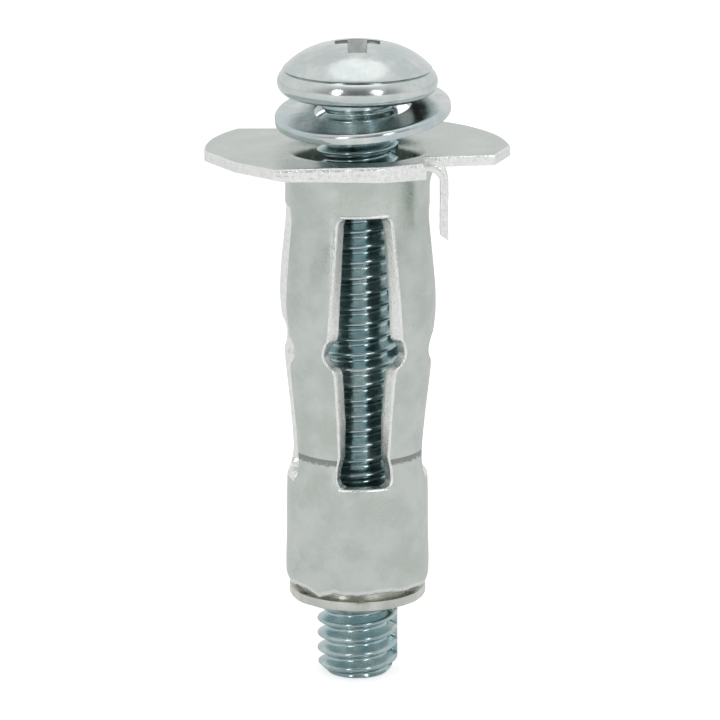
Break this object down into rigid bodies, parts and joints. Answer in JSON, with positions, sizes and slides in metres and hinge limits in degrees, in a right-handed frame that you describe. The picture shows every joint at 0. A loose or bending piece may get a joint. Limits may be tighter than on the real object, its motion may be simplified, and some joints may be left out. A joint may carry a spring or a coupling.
{
  "type": "hollow wall anchor",
  "caption": "Hollow-wall expansion anchor: flanged sleeve with a prong and four folding legs, threaded nut in its end cage, and a pan-head machine screw with a washer.",
  "frame": {"origin": "on the screw's axis, in the plane of the flange's underside, which rests on the wall", "axes": "+Z along the screw's axis, out of the wall towards the head; -Y is the flange's straight front edge; the screw's slot runs along Y"},
  "size_m": [0.0154, 0.013, 0.0329],
  "materials": {
    "sleeve_zinc": "satin zinc plate",
    "nut_zinc": "satin zinc plate",
    "washer_zinc": "bright zinc plate",
    "screw_zinc": "bright blue-passivated zinc plate"
  },
  "bodies": {
    "collar": {"collar": "sleeve_zinc"},
    "upper_leg_1": {"upper_leg_1": "sleeve_zinc"},
    "upper_leg_2": {"upper_leg_2": "sleeve_zinc"},
    "upper_leg_3": {"upper_leg_3": "sleeve_zinc"},
    "upper_leg_4": {"upper_leg_4": "sleeve_zinc"},
    "lower_leg_1": {"lower_leg_1": "sleeve_zinc"},
    "lower_leg_2": {"lower_leg_2": "sleeve_zinc"},
    "lower_leg_3": {"lower_leg_3": "sleeve_zinc"},
    "lower_leg_4": {"lower_leg_4": "sleeve_zinc"},
    "nut_cage": {"nut_cage": "sleeve_zinc", "nut": "nut_zinc"},
    "washer": {"washer": "washer_zinc"},
    "screw": {"screw": "screw_zinc"}
  },
  "joints": [
    {"name": "leg_fold_1", "type": "hinge", "parent": "collar", "child": "upper_leg_1", "pos_m": [0.00284, -0.0023, -0.00315], "axis": [-0.6293, -0.7771, 0], "range_deg": [0, 60]},
    {"name": "leg_fold_2", "type": "hinge", "parent": "collar", "child": "upper_leg_2", "pos_m": [0.0023, 0.00284, -0.00315], "axis": [0.7771, -0.6293, 0], "range_deg": [0, 60]},
    {"name": "leg_fold_3", "type": "hinge", "parent": "collar", "child": "upper_leg_3", "pos_m": [-0.00284, 0.0023, -0.00315], "axis": [0.6293, 0.7771, 0], "range_deg": [0, 60]},
    {"name": "leg_fold_4", "type": "hinge", "parent": "collar", "child": "upper_leg_4", "pos_m": [-0.0023, -0.00284, -0.00315], "axis": [-0.7771, 0.6293, 0], "range_deg": [0, 60]},
    {"name": "knuckle_1", "type": "hinge", "parent": "upper_leg_1", "child": "lower_leg_1", "pos_m": [0.00242, -0.00196, -0.00935], "axis": [-0.6293, -0.7771, 0], "range_deg": [-120, 0]},
    {"name": "knuckle_2", "type": "hinge", "parent": "upper_leg_2", "child": "lower_leg_2", "pos_m": [0.00196, 0.00242, -0.00935], "axis": [0.7771, -0.6293, 0], "range_deg": [-120, 0]},
    {"name": "knuckle_3", "type": "hinge", "parent": "upper_leg_3", "child": "lower_leg_3", "pos_m": [-0.00242, 0.00196, -0.00935], "axis": [0.6293, 0.7771, 0], "range_deg": [-120, 0]},
    {"name": "knuckle_4", "type": "hinge", "parent": "upper_leg_4", "child": "lower_leg_4", "pos_m": [-0.00196, -0.00242, -0.00935], "axis": [-0.7771, 0.6293, 0], "range_deg": [-120, 0]},
    {"name": "foot_fold", "type": "hinge", "parent": "lower_leg_1", "child": "nut_cage", "pos_m": [0.00284, -0.0023, -0.01555], "axis": [-0.6293, -0.7771, 0], "range_deg": [0, 60]},
    {"name": "screw_travel", "type": "slide", "parent": "collar", "child": "washer", "axis": [0, 0, 1], "range_m": [-0.00079, 0.00397]},
    {"name": "screw_turn", "type": "hinge", "parent": "washer", "child": "screw", "pos_m": [0, 0, 0], "axis": [0, 0, 1], "range_deg": [-361, 1801]}
  ],
  "couplings": [
    {"joint": "leg_fold_2", "follows": "leg_fold_1", "ratio": 1},
    {"joint": "leg_fold_3", "follows": "leg_fold_1", "ratio": 1},
    {"joint": "leg_fold_4", "follows": "leg_fold_1", "ratio": 1},
    {"joint": "knuckle_1", "follows": "leg_fold_1", "ratio": -2},
    {"joint": "knuckle_2", "follows": "leg_fold_1", "ratio": -2},
    {"joint": "knuckle_3", "follows": "leg_fold_1", "ratio": -2},
    {"joint": "knuckle_4", "follows": "leg_fold_1", "ratio": -2},
    {"joint": "foot_fold", "follows": "leg_fold_1", "ratio": 1},
    {"joint": "screw_turn", "follows": "screw_travel", "rad_per_m": 7915.8}
  ]
}
